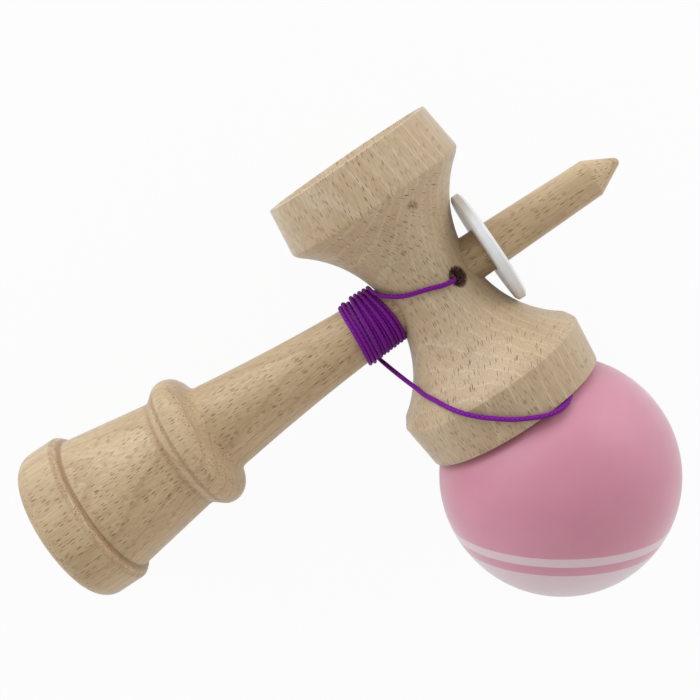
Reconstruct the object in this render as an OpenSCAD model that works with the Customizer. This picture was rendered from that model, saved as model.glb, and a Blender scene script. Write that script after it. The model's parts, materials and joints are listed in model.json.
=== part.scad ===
// Kendama: a turned wooden ken with a cross-piece of two cups, a striped ball that rests in the
// larger cup, the string that ties the ball to the ken, and a plastic ring on the spike.
// It lies on a table with its string wound round the grip: +X runs along the ken to the spike, the
// ball is towards -Y and +Z is up. Every piece is drawn square to the ken and the cups, with their
// axes crossing at zero, and is then tipped until the ball, the small cup and the foot all touch down.
// All lengths are in millimetres.

/* [Ken] */
// From the cups' axis to the tip of the spike
spike_len = 54.2; // [51:0.1:60]
// From the cups' axis to the shoulder where the point of the spike starts
shoulder_at = 46.3; // [40:0.1:48]
// Diameter of the spike at that shoulder
shoulder_d = 9.7; // [8:0.1:11]
// Diameter of the spike where it leaves the cross-piece
spike_root_d = 11.5; // [11:0.1:12.5]
// Radius of the blunt tip
tip_r = 0.8; // [0.5:0.1:1.5]
// Diameter of the ken where it enters the cross-piece
neck_d = 13.2; // [12.6:0.1:14]
// From the cups' axis to the wide end of the grip
grip_len = 62; // [59:0.5:63]
// Diameter of the grip at its wide end
grip_d = 22.6; // [20:0.2:24]
// How far the grip's sides are drawn in between its ends
grip_bow = 0.6; // [0:0.1:1.2]
// From the cups' axis to the crest of the collar
collar_at = 69.7; // [69:0.1:72]
// Diameter over the collar
collar_d = 35; // [33:0.2:37]
// Radius of the collar's round section
collar_round = 4.5; // [4:0.1:5]
// Radius of the hollow fillet between collar and grip
collar_fillet = 3; // [2:0.1:3.4]
// Diameter of the flared base under the collar
flare_top_d = 29.2; // [27:0.2:31]
// Diameter of the flared base above the foot
flare_d = 36.8; // [34:0.2:39]
// From the cups' axis to the upper edge of the foot
foot_at = 98.6; // [94:0.1:102]
// Diameter of the foot
foot_d = 41.2; // [40:0.2:44]
// Radius of the foot's rounded lower edge
foot_round = 4.5; // [3:0.1:5]
// Bevel along the foot's upper edge
foot_bevel = 1; // [0.2:0.1:1.2]
// Width of the turned groove above the foot
groove_w = 0.6; // [0.4:0.1:1.5]
// Depth of that groove below the flare
groove_depth = 0.4; // [0.3:0.1:1.5]
// From the cups' axis to the rim under the base
base_len = 111.4; // [109:0.1:118]
// Diameter of the hollow under the base
base_cup_d = 30.4; // [26:0.2:31]
// Depth of the hollow under the base
base_cup_depth = 5.5; // [3:0.1:8]

/* [Cups] */
// Diameter of the cross-piece at its waist
waist_d = 22.6; // [21:0.2:26]
// Radius of the saddle turned between the two cups
saddle_r = 30; // [29:0.2:32]
// From the ken's axis to the rim of the large cup
big_rim_at = 37.4; // [35:0.1:40]
// Outer diameter of the large cup's rim
big_rim_d = 47.4; // [46.8:0.2:49]
// Inner diameter of the large cup's rim
big_lip_d = 45.8; // [44:0.2:46.4]
// Depth of the large cup
big_depth = 12.9; // [11:0.1:15]
// From the ken's axis to the corner behind the large cup's band
big_corner_at = 26; // [25.5:0.1:28]
// Diameter at that corner
big_corner_d = 49.8; // [49:0.2:52]
// From the ken's axis to the rim of the small cup
small_rim_at = 37; // [35:0.1:40]
// Outer diameter of the small cup's rim
small_rim_d = 44.6; // [43:0.2:46]
// Inner diameter of the small cup's rim
small_lip_d = 41.2; // [38:0.2:42.4]
// Depth of the small cup
small_depth = 11; // [8:0.1:14]
// From the ken's axis to the corner behind the small cup's band
small_corner_at = 25; // [24.6:0.1:27]
// Diameter at that corner
small_corner_d = 47.6; // [47:0.2:49]
// Room between the ken and its tapered hole through the cross-piece
ken_clearance = 0.1; // [0.05:0.05:0.3]
// Diameter of the string's hole in the waist
string_hole_d = 3.6; // [2.6:0.1:4.4]
// Depth of the bevel worn round that hole
string_hole_bevel = 0.8; // [0.2:0.1:1.5]
// Lean of that hole from straight up towards the spike, in degrees
string_hole_lean = 33.7; // [25:0.1:40]
// How far that hole lies towards the large cup
string_hole_shift = 0.7; // [0:0.1:1]

/* [Ball] */
// Diameter of the ball
ball_d = 60; // [58:0.5:62]
// Diameter of the hole that the spike goes into
ball_hole_d = 14; // [12.5:0.1:18]
// Bevel round the mouth of that hole
ball_hole_bevel = 0.5; // [0.2:0.1:1]
// Depth of that hole's wide part, from the ball's skin
ball_hole_depth = 34; // [28:0.5:38]
// Diameter of the chamber under it that the bead turns in
chamber_d = 9.5; // [8:0.1:11]
// Depth of that chamber's straight wall
chamber_depth = 6; // [5.5:0.1:8]
// Diameter of the string's bore through the ball
ball_bore_d = 2; // [1.6:0.1:2.6]
// Diameter of the flared mouth of the string's bore
ball_mouth_d = 6; // [4:0.1:7]
// Depth of that mouth
ball_mouth_depth = 2.2; // [1.8:0.1:3]
// Room for the string between ball and rim, with the ball in the middle of its cup
string_room = 0.8; // [0.7:0.05:1]
// Gap left where the ball leans on the low side of the rim
ball_seat_gap = 0.28; // [0.2:0.02:0.4]
// Swing of the ball's hole from the cups' axis towards the base, in degrees
ball_turn = 32; // [25:0.5:35]
// Dip of the ball's hole below level, in degrees
ball_dip = 3.5; // [0:0.1:5]
// Diameter of the bead that the ball swivels on
bead_d = 6.6; // [5:0.1:7]
// Diameter of the hole through the bead
bead_hole_d = 1.6; // [1.2:0.1:2.2]
// Gap between the bead and its seat in the ball
bead_gap = 0.25; // [0.15:0.05:0.4]

/* [Ring] */
// Outer diameter of the ring
ring_d = 30; // [26:0.5:32]
// Thickness of the ring
ring_t = 2.9; // [2:0.1:4]
// Bevel along the ring's edges
ring_bevel = 0.6; // [0.2:0.1:0.9]
// Room between the ring's hole and the spike
ring_clearance = 0.35; // [0.25:0.05:0.6]
// Gap where the ring rests on the flanks of the cups
ring_seat_gap = 0.25; // [0.15:0.05:0.5]
// Lean of the ring's upper side towards the tip, in degrees
ring_lean = 2.5; // [0:0.1:3]

/* [String] */
// Diameter of the braided string, which is also the step between turns that lie side by side
string_d = 1.02; // [1:0.01:1.1]
// Diameter of the core that is drawn for it, slim enough to keep the turns apart
core_d = 0.55; // [0.4:0.05:0.55]
// Turns wound from the cross-piece towards the base
near_turns = 9; // [7:1:9]
// Turns wound back from there, after the string has crossed behind the grip
back_turns = 2; // [1:1:2]
// From the cups' axis to the first turn, on the large cup's side
winding_at = 12.7; // [12.6:0.05:13]
// From the cups' axis to the first of the turns that bunch up on the small cup's side
bunch_at = 13.9; // [13.7:0.05:14.2]
// Step between the bunched turns, as a share of the string's diameter
bunch_share = 0.59; // [0.56:0.01:0.7]
// Step across the gap that shows the wood between near turns and turns wound back
winding_gap = 1.9; // [1.7:0.05:2.2]
// Angle short of the small cup's side where the winding starts, in degrees
winding_start = 20; // [10:1:25]
// Angle past the small cup's side where the winding ends behind the grip, in degrees
winding_end = 100; // [95:1:105]
// Diameter of the knot inside the ken
ken_knot_d = 3.8; // [3:0.1:4.2]
// Diameter of the pocket that takes this knot
knot_pocket_d = 4.6; // [4.4:0.1:5]
// Diameter of the string's passage from the pocket to the waist
passage_d = 1.8; // [1.6:0.1:2.4]
// From the ken's axis to the pocket's shoulder
pocket_at = 1.5; // [1:0.1:2]
// Gap between a knot and what it bears on
knot_gap = 0.05; // [0.05:0.01:0.2]
// Diameter of the knot on the bead
ball_knot_d = 2.3; // [1.8:0.1:2.4]
// Gap between the string's running end and the stretch that stays in the ball
end_gap = 0.1; // [0.05:0.01:0.2]

/* [Hidden] */
$fn = 96;
overrun = 1;
curve_steps = 8;
coil_steps = 24;
coil_sides = 6;
run_sides = 8;
settle_count = 30;
crossing_share = 0.2;
crossing_rise_share = 1.13;

wood = [0.80, 0.68, 0.52];
pink = [0.85, 0.62, 0.62];
white = [0.93, 0.92, 0.90];
purple = [0.42, 0.05, 0.52];

// Radii that the pieces share
ball_r = ball_d / 2;
foot_r = foot_d / 2;
waist_r = waist_d / 2;
big_lip_r = big_lip_d / 2;
small_lip_r = small_lip_d / 2;
base_cup_r = base_cup_d / 2;
grip_r = grip_d / 2;
neck_r = neck_d / 2;

// The ball sits off its cup by the string's room and sinks on to the low side of the rim.
ball_reach = ball_r + string_room;
ball_at = big_rim_at + sqrt(pow(ball_reach, 2) - pow(big_lip_r, 2));
ball_drop = (string_room - ball_seat_gap) * ball_reach / big_lip_r;

// Inside the ball, measured along its hole from its middle
ball_floor = ball_r - ball_hole_depth;
chamber_floor = ball_floor - chamber_depth;
ball_cone_tip = chamber_floor - chamber_d / 2;
bead_at = ball_cone_tip + (bead_d / 2 + bead_gap) * sqrt(2);
ball_knot_at = bead_at + (bead_d + ball_knot_d) / 2 + knot_gap;
run_end_share = 0.75;
run_end_depth = ball_mouth_depth * run_end_share;

// Radius of the saddle at a distance from the ken's axis, and of the ken at a station along it
function saddle(y) = waist_r + saddle_r - sqrt(pow(saddle_r, 2) - pow(y, 2));
function between(a, b, u) = a + (b - a) * u;
function grip(x) = let (u = (grip_len + x) / (grip_len - waist_r))
    between(grip_r, neck_r, u) - 4 * grip_bow * u * (1 - u);
function seat(x) = between(neck_r, spike_root_d / 2, (x + waist_r) / (2 * waist_r));
function spike(x) = between(spike_root_d / 2, shoulder_d / 2, (x - waist_r) / (shoulder_at - waist_r));

// The ring rests on the saddle with the edge of its lower face.
ring_at = saddle(ring_d / 2 - ring_bevel) + ring_seat_gap;
ring_bore_d = 2 * (spike(ring_at) + ring_clearance);

// The direction that is up on the table, found by bringing the lowest points of the ball, the small
// cup's corner and the foot to one height
function level_y(u) = (small_corner_d / 2 * sqrt(1 - pow(u.y, 2)) - ball_r - ball_drop * u.z)
    / (ball_at + small_corner_at);
function floor_under(y) = small_corner_at * y - small_corner_d / 2 * sqrt(1 - pow(y, 2));
function level_x(u) = -(floor_under(u.y) + (foot_r - foot_round) * sqrt(1 - pow(u.x, 2)) + foot_round)
    / (base_len - foot_round);
function with_height(x, y) = [x, y, sqrt(1 - x * x - y * y)];
function settle(u, rounds) = rounds <= 0 ? u : settle(with_height(level_x(u), level_y(u)), rounds - 1);
up = settle([0, 0, 1], settle_count);
roll = atan2(up.y, up.z);
pitch = -atan2(up.x, norm([up.y, up.z]));

// Reach of the tipped toy along the table, whose middle becomes the origin
reach_front = (spike_len - tip_r) * cos(pitch) + tip_r;
reach_back = (base_len - foot_round) * cos(pitch) + (foot_r - foot_round) * abs(sin(pitch)) + foot_round;
reach_small = small_rim_at * cos(roll) + small_rim_d / 2 * abs(sin(roll));
reach_ball = ball_at * cos(roll) - ball_drop * sin(roll) + ball_r;
origin = [(reach_front - reach_back) / 2, (reach_small - reach_ball) / 2, floor_under(up.y)];

// Stations of the string along the grip by its count of turns, which is whole on the small cup's side
// and half-way between on the large cup's side: near turns, a crossing behind, then turns wound back
bunch_step = string_d * bunch_share;
gap_turn_at = bunch_at + bunch_step * (near_turns - 2) + winding_gap;
far_turn_at = winding_at + string_d * (near_turns + back_turns - 1 + crossing_share);
far_bunch_at = gap_turn_at + string_d * (back_turns + crossing_share);
function fan(p) = (1 + cos(360 * p)) / 2;
function level_at(p) = p < near_turns ? winding_at + string_d * (p - 1 / 2)
    : far_turn_at - string_d * (p - near_turns - 1 / 2);
function bunched_at(p) = p < near_turns - 1 / 2 ? bunch_at + bunch_step * (p - 1)
    : p < near_turns + 1 / 2 ? gap_turn_at : far_bunch_at - string_d * (p - near_turns - 1);
function turn_at(p) = between(level_at(p), bunched_at(p), fan(p));

// Height of a turn off the wood: every second near turn rides up where they bunch, and the turns wound
// back rise over the crossing
function bunch_rise(p) = sqrt(max(0, pow(string_d, 2) - pow(turn_at(p) - turn_at(p - 1), 2)));
function crossing_off(p) = abs(turn_at(p) - between(far_turn_at, gap_turn_at, fan(p))) / string_d;
function crossing_rise(p) = string_d * crossing_rise_share * (1 + cos(90 * min(crossing_off(p), 2))) / 2;
function turn_rise(p) = p < near_turns - 1 / 2 ? (round(p) % 2 == 0 ? bunch_rise(p) : 0)
    : p > near_turns + 1 / 2 && p % 1 < 1 / 2 ? crossing_rise(p) : 0;
function turn_point(p) = let (x = -turn_at(p), r = grip(x) + string_d / 2 + turn_rise(p))
    [x, r * cos(360 * p), -r * sin(360 * p)];

// Points of the string's turns, in the order they are wound
function unit(v) = v / norm(v);
first_turn = -winding_start / 360;
last_turn = near_turns + back_turns + winding_end / 360;
turn_rings = round((last_turn - first_turn) * coil_steps);
turns = [for (i = [0:turn_rings]) turn_point(between(first_turn, last_turn, i / turn_rings))];
wind_in = unit(turns[0] - turns[1]);
wind_out = unit(turns[turn_rings] - turns[turn_rings - 1]);
winding_route = concat([turns[0] + wind_in * core_d], turns, [turns[turn_rings] + wind_out * core_d]);
turn_gap = min([for (i = [0:turn_rings]) for (k = [coil_steps / 2:1:turn_rings - i])
    norm(turns[i] - turns[i + k])]) - core_d;
echo(str("least gap between turns of string_winding: ", turn_gap, " mm"));

// A place on the axis of the ball's hole, at a depth below the mouth of the string's bore
ball_axis = [-sin(ball_turn) * cos(ball_dip), -cos(ball_turn) * cos(ball_dip), -sin(ball_dip)];
function in_ball(depth) = [0, -ball_at, -ball_drop] + ball_axis * (depth - ball_r);

// Route of the string from its knot in the ken, out of the waist and over it to the first turn
anchor_points = [[-0.3, -0.7, -0.4], [1.7, -0.7, 2.5], [3.3, -0.7, 5], [4.7, -0.7, 7.1], [5.3, -0.7, 8.4],
    [5.6, -0.7, 9.7], [5.3, -0.6, 10.8], [4.4, -0.5, 11.5], [3, -0.2, 11.8], [1.2, 0.4, 11.9],
    [-0.7, 1.1, 11.9], [-3.2, 1.8, 11.5], [-5.8, 2.5, 10.6], [-8, 3.4, 9.4], [-9.9, 4.6, 8.1],
    [-11.6, 6, 6.6]];
anchor_route = concat(anchor_points, [turns[0] + wind_in * core_d * 3, turns[0] + wind_in * core_d]);

// Route from the last turn over the large cup and its rim, then between ball and cup to the ball's bore
tama_points = [[-21.3, -5.7, -6.4], [-21.1, -8.2, -3.8], [-20.1, -10.8, -0.9], [-18.9, -13.6, 2],
    [-17.7, -16.2, 4.7], [-16.7, -18.1, 7.1], [-15.6, -19.8, 11.5], [-13.9, -21.5, 15.8], [-12.5, -23, 19.4],
    [-11, -24.6, 22.3], [-9.6, -26.1, 23.7], [-8, -27.7, 24.3], [-4.6, -30.6, 24.8], [-1, -33.1, 24.8],
    [3, -35.1, 24.4], [7, -36.6, 23.5], [8.2, -37.6, 22.9], [9.6, -38.3, 21.6], [11.2, -37.8, 19.4],
    [12.4, -36.1, 17.1], [13.5, -34.6, 14.6],
    [14.5, -33.5, 11.8], [15.2, -32.6, 8.9], [15.8, -32.1, 6.1], [16, -31.9, 4.2], [16, -32.2, 2.8],
    [15.7, -32.8, 1.8]];
tama_route = concat([turns[turn_rings] + wind_out * core_d, turns[turn_rings] + wind_out * core_d * 3],
    tama_points, [in_ball(run_end_depth - core_d), in_ball(run_end_depth)]);

// Points of an arc in an outline, from one angle to another
function arc(middle, r, from, to) = [for (i = [0:curve_steps])
    let (a = between(from, to, i / curve_steps)) middle + r * [cos(a), sin(a)]];

// Tips a piece on to the table and puts the origin under the middle of the toy.
module lying() {
    translate(-origin) rotate([roll, pitch, 0]) children();
}

// Stand what is drawn upright along the ken, along the cups or along the ball's hole.
module along_ken() {
    rotate([0, 90, 0]) children();
}

module along_cups() {
    rotate([-90, 0, 0]) children();
}

module along_ball() {
    translate([0, -ball_at, -ball_drop]) rotate([0, 90 + ball_dip, -90 - ball_turn]) children();
}

// Stands what is drawn upright along the string's hole in the waist.
module along_string_hole() {
    translate([0, -string_hole_shift, 0]) rotate([0, string_hole_lean, 0]) children();
}

// A tube swept along a route, with its rings turned by a direction that the route never follows
module strand(route, d, sides, hint) {
    last = len(route) - 1;
    function ring(i) = let (ahead = unit(route[min(i + 1, last)] - route[max(i - 1, 0)]),
        side = unit(cross(ahead, hint)), rise = cross(side, ahead), step = 360 / sides)
        [for (k = [0:sides - 1]) route[i] + d / 2 * (side * cos(k * step) + rise * sin(k * step))];
    points = [for (i = [0:last]) each ring(i)];
    walls = [for (i = [0:last - 1]) for (k = [0:sides - 1])
        let (a = i * sides + k, b = i * sides + (k + 1) % sides)
        each [[a, b, a + sides], [b, b + sides, a + sides]]];
    start = [for (k = [1:sides - 2]) [0, k + 1, k]];
    end = [for (k = [1:sides - 2]) [last * sides, last * sides + k, last * sides + k + 1]];
    polyhedron(points, concat(walls, start, end));
}

// A bowl's section, cut into a flat rim at a station
module bowl_section(rim, lip_r, depth, outward) {
    r = (lip_r * lip_r + depth * depth) / (2 * depth);
    translate([0, rim + outward * (r - depth)]) circle(r);
}

module ken_section() {
    collar_middle = [collar_d / 2 - collar_round, -collar_at];
    foot_middle = [foot_r - foot_round, -base_len + foot_round];
    fillet_middle = [grip(-grip_len) + collar_fillet, -collar_at + collar_round + collar_fillet];
    point_slope = atan2(shoulder_d / 2, spike_len - shoulder_at);
    grip_from = -collar_at + collar_round + collar_fillet;
    groove_r = flare_d / 2 - groove_depth;
    fillet_start = 250;
    difference() {
        union() {
            polygon(concat(
                [[0, -base_len], [foot_middle.x, -base_len], [foot_r, foot_middle.y],
                 [foot_r, -foot_at - foot_bevel], [foot_r - foot_bevel, -foot_at],
                 [groove_r, -foot_at], [groove_r, -foot_at + groove_w], [flare_d / 2, -foot_at + groove_w],
                 [flare_top_d / 2, -collar_at - collar_round], collar_middle],
                arc(fillet_middle, collar_fillet, fillet_start, 180),
                [for (i = [1:curve_steps])
                    let (x = between(grip_from, -waist_r, i / curve_steps)) [grip(x), x]],
                [[spike_root_d / 2, waist_r], [shoulder_d / 2, shoulder_at]],
                arc([0, spike_len - tip_r], tip_r, 90 - point_slope, 90)));
            translate(collar_middle) circle(collar_round);
            translate(foot_middle) circle(foot_round);
        }
        bowl_section(-base_len, base_cup_r, base_cup_depth, -1);
    }
}

module ken() {
    color(wood) lying() difference() {
        along_ken() rotate_extrude() ken_section();
        along_string_hole() cylinder(h = neck_d, d = passage_d);
        along_string_hole() translate([0, 0, -neck_d]) cylinder(h = neck_d + pocket_at, d = knot_pocket_d);
    }
}

module sarado_section() {
    difference() {
        polygon([[0, -big_rim_at], [big_rim_d / 2, -big_rim_at], [big_corner_d / 2, -big_corner_at],
                 [small_corner_d / 2, small_corner_at], [small_rim_d / 2, small_rim_at], [0, small_rim_at]]);
        translate([waist_r + saddle_r, 0]) circle(saddle_r);
        bowl_section(-big_rim_at, big_lip_r, big_depth, -1);
        bowl_section(small_rim_at, small_lip_r, small_depth, 1);
    }
}

module sarado() {
    hole_half = waist_r + neck_r;
    hole_r = string_hole_d / 2;
    color(wood) lying() difference() {
        along_cups() rotate_extrude() sarado_section();
        along_ken() translate([0, 0, -hole_half]) cylinder(h = 2 * hole_half,
            r1 = seat(-hole_half) + ken_clearance, r2 = seat(hole_half) + ken_clearance);
        along_string_hole() cylinder(h = waist_d, r = hole_r);
        along_string_hole() translate([0, 0, waist_r - string_hole_bevel])
            cylinder(h = 2 * string_hole_bevel, r1 = hole_r, r2 = hole_r + 2 * string_hole_bevel);
    }
}

module tama() {
    hole_r = ball_hole_d / 2;
    mouth_at = sqrt(pow(ball_r, 2) - pow(hole_r + ball_hole_bevel, 2));
    color(pink) lying() along_ball() difference() {
        sphere(ball_r);
        translate([0, 0, ball_floor]) cylinder(h = ball_hole_depth + overrun, r = hole_r);
        translate([0, 0, chamber_floor]) cylinder(h = chamber_depth + overrun, d = chamber_d);
        translate([0, 0, mouth_at - ball_hole_bevel])
            cylinder(h = 2 * ball_hole_bevel, r1 = hole_r, r2 = hole_r + 2 * ball_hole_bevel);
        translate([0, 0, ball_cone_tip]) cylinder(h = chamber_d / 2, d1 = 0, d2 = chamber_d);
        translate([0, 0, -ball_r - overrun]) cylinder(h = ball_r + overrun, d = ball_bore_d);
        translate([0, 0, -ball_r]) cylinder(h = ball_mouth_depth, d1 = ball_mouth_d, d2 = ball_bore_d);
    }
}

module bead() {
    color(wood) lying() along_ball() translate([0, 0, bead_at]) difference() {
        sphere(d = bead_d);
        translate([0, 0, -bead_d]) cylinder(h = 2 * bead_d, d = bead_hole_d);
    }
}

module retaining_ring() {
    face_r = ring_d / 2 - ring_bevel;
    bore_r = ring_bore_d / 2;
    color(white) lying() translate([ring_at, 0, 0]) rotate([0, 90 + ring_lean, 0]) rotate_extrude()
        polygon([[bore_r, 0], [face_r, 0], [ring_d / 2, ring_bevel], [ring_d / 2, ring_t - ring_bevel],
                 [face_r, ring_t], [bore_r, ring_t]]);
}

module ken_knot() {
    color(purple) lying() along_string_hole()
        translate([0, 0, pocket_at - ken_knot_d / 2 - knot_gap]) sphere(d = ken_knot_d);
}

module tama_knot() {
    color(purple) lying() along_ball() translate([0, 0, ball_knot_at]) sphere(d = ball_knot_d);
}

module string_anchor_run() {
    color(purple) lying() strand(anchor_route, core_d, run_sides, [0, 1, 0]);
}

module string_winding() {
    color(purple) lying() strand(winding_route, core_d, coil_sides, [1, 0, 0]);
}

module string_tama_run() {
    color(purple) lying() strand(tama_route, core_d, run_sides, [1, 0, 1]);
}

module string_end() {
    from = -ball_r + run_end_depth + end_gap;
    color(purple) lying() along_ball() translate([0, 0, from]) cylinder(h = ball_knot_at - from, d = core_d);
}

ken();
sarado();
tama();
bead();
retaining_ring();
ken_knot();
tama_knot();
string_anchor_run();
string_winding();
string_tama_run();
string_end();
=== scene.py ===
# %% [markdown]
# # Dressing a kendama
# A kendama is a wooden cup-and-ball toy. The imported model gives every piece its place and its size, so
# this lesson only makes the looks: turned beech, a painted ball, a braided string and a plastic ring. The
# model is loaded first.

# %% Loading the imported model
import json
import math
import bpy
import numpy as np
from mathutils import Matrix, Vector


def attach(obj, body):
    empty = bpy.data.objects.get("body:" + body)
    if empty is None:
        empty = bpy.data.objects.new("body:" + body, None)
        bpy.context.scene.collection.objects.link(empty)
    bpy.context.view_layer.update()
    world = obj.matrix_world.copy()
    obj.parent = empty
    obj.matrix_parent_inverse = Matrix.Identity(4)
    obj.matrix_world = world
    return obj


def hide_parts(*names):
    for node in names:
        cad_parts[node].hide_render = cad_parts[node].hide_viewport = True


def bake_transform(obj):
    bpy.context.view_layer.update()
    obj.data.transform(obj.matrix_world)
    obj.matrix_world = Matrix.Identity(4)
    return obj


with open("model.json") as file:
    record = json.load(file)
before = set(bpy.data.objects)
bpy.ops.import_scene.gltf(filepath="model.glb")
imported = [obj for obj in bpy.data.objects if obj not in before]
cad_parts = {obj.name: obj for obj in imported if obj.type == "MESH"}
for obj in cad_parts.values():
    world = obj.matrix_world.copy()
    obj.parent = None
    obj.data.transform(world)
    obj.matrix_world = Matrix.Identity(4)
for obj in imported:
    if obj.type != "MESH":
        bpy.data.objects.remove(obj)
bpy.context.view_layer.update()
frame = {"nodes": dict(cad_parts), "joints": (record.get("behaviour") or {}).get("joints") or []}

MM = 0.001
print("nodes:", sorted(frame["nodes"]))

# %% [markdown]
# ## A frame that is square to the toy
# The toy lies tipped on the table, which makes its pieces awkward to describe. The joints of the model
# know its real directions: the ring slides along the ken, and the ball lifts off along the cups. From
# them comes a matrix that takes millimetres measured from the crossing of ken and cups to places on the
# table.

# %% The toy's own frame
joints = {joint["name"]: joint for joint in frame["joints"]}
spike_way = Vector(joints["ring_slide"]["axis"]).normalized()
cups_way = -Vector(joints["tama_lift"]["axis"]).normalized()
up_way = spike_way.cross(cups_way)
ball_way = Vector(joints["tama_spin"]["axis"]).normalized()
ball_middle = Vector(joints["tama_spin"]["pos_m"])

ball_r = 30.0
big_rim_at = 37.4
big_lip_r = 22.9
string_room = 0.8
ball_seat_gap = 0.28
ball_reach = ball_r + string_room
ball_at = big_rim_at + math.sqrt(ball_reach ** 2 - big_lip_r ** 2)
ball_drop = (string_room - ball_seat_gap) * ball_reach / big_lip_r
crossing = ball_middle + (cups_way * ball_at + up_way * ball_drop) * MM

turn_to_table = Matrix((spike_way, cups_way, up_way)).transposed().to_4x4()
toy_place = Matrix.Translation(crossing) @ turn_to_table


def toy(x, y, z):
    """A place on the table for millimetres along the ken, along the cups and up from their crossing."""
    return toy_place @ (Vector((x, y, z)) * MM)


print("ken and cups cross at", [round(v * 1000, 2) for v in crossing], "mm")

# %% [markdown]
# ## The camera
# The photograph looks down on the toy from above its middle, with the ken running up to the right. The
# camera was placed by matching the outlines of ball, cups and ken, and a long lens keeps the perspective
# mild. A Blender camera looks along its own -Z with +Y up, so its matrix is filled with the right, up and
# back directions.

# %% Camera
camera_spot = (11.07, 48.62, 362.35)
camera_right = Vector((0.82753, -0.56140, -0.00459))
camera_up = Vector((0.55257, 0.81590, -0.17022))
camera_back = Vector((0.09931, 0.13833, 0.98539))
bpy.ops.object.select_all(action="DESELECT")
bpy.ops.object.camera_add()
camera = bpy.context.object
camera.name = "photo_camera"
camera_turn = Matrix((camera_right, camera_up, camera_back)).transposed().to_4x4()
camera.matrix_world = Matrix.Translation(toy(*camera_spot)) @ turn_to_table @ camera_turn
camera.data.sensor_width = 36
camera.data.lens = 76.86
camera.data.clip_start = 0.01
bpy.context.scene.camera = camera
print("camera at", [round(v, 3) for v in camera.location])

# %% [markdown]
# ## The string's route
# One purple cord is knotted inside the ken. It comes out of the waist, is wound nine turns down the grip,
# crosses behind, is wound two turns back, and then runs over the large cup into the ball. A winding is
# easiest to write as a count of turns: whole counts lie on the small cup's side and halves on the large
# cup's side. On the small cup's side the turns bunch up, so every second one rides on its neighbours.

# %% Stations of the turns along the grip
string_d = 1.02
near_turns = 9
back_turns = 2
winding_at = 12.7
winding_gap = 1.3
bunch_at = 13.9
bunch_share = 0.59
crossing_share = 0.2
crossing_rise_share = 1.13
bunch_step = string_d * bunch_share
gap_turn_at = bunch_at + bunch_step * (near_turns - 2) + winding_gap
far_turn_at = winding_at + string_d * (near_turns + back_turns - 1 + crossing_share)
far_bunch_at = gap_turn_at + string_d * (back_turns + crossing_share)
grip_len, grip_r, neck_r, waist_r, grip_bow = 62.0, 11.3, 6.6, 11.3, 0.6


def mix(a, b, share):
    """A value between two others, by a share from 0 to 1."""
    return a + (b - a) * share


def grip(x):
    """Radius of the grip at a station along the ken."""
    u = (grip_len + x) / (grip_len - waist_r)
    return mix(grip_r, neck_r, u) - 4 * grip_bow * u * (1 - u)


def fan(p):
    """Share of the bunched side after p turns: 1 at whole counts and 0 at halves."""
    return (1 + math.cos(2 * math.pi * p)) / 2


def turn_at(p):
    """Station of the string after p turns, between its level side and its bunched side."""
    level = winding_at + string_d * (p - 0.5)
    if p > near_turns:
        level = far_turn_at - string_d * (p - near_turns - 0.5)
    bunched = far_bunch_at - string_d * (p - near_turns - 1)
    if p < near_turns + 0.5:
        bunched = gap_turn_at
    if p < near_turns - 0.5:
        bunched = bunch_at + bunch_step * (p - 1)
    return mix(level, bunched, fan(p))


first_lean, least_lean, lean_loss = 1.9, 0.7, 0.15


def lean(p):
    """How far the string is pulled towards the cross-piece where it passes over the front."""
    return max(least_lean, first_lean - lean_loss * p) * max(0, -math.sin(2 * math.pi * p)) ** 1.5


def turn_rise(p):
    """Height of the string off the wood after p turns."""
    if p < near_turns - 0.5:
        beside = turn_at(p) - turn_at(p - 1)
        return math.sqrt(max(0, string_d ** 2 - beside ** 2)) if round(p) % 2 == 0 else 0
    if p > near_turns + 0.5 and p % 1 < 0.5:
        off = abs(turn_at(p) - mix(far_turn_at, gap_turn_at, fan(p))) / string_d
        return string_d * crossing_rise_share * (1 + math.cos(math.pi / 2 * min(off, 2))) / 2
    return 0


def turn_point(p):
    """Place of the string after p turns."""
    x = lean(p) - turn_at(p)
    r = grip(x) + string_d / 2 + turn_rise(p)
    return (x, r * math.cos(2 * math.pi * p), -r * math.sin(2 * math.pi * p))


start_degrees, end_degrees = 20, 100
first_turn = -start_degrees / 360
last_turn = near_turns + back_turns + end_degrees / 360
turn_steps = 540
turns = [turn_point(mix(first_turn, last_turn, i / turn_steps)) for i in range(turn_steps + 1)]
print("turns wound:", round(last_turn - first_turn, 2))
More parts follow.
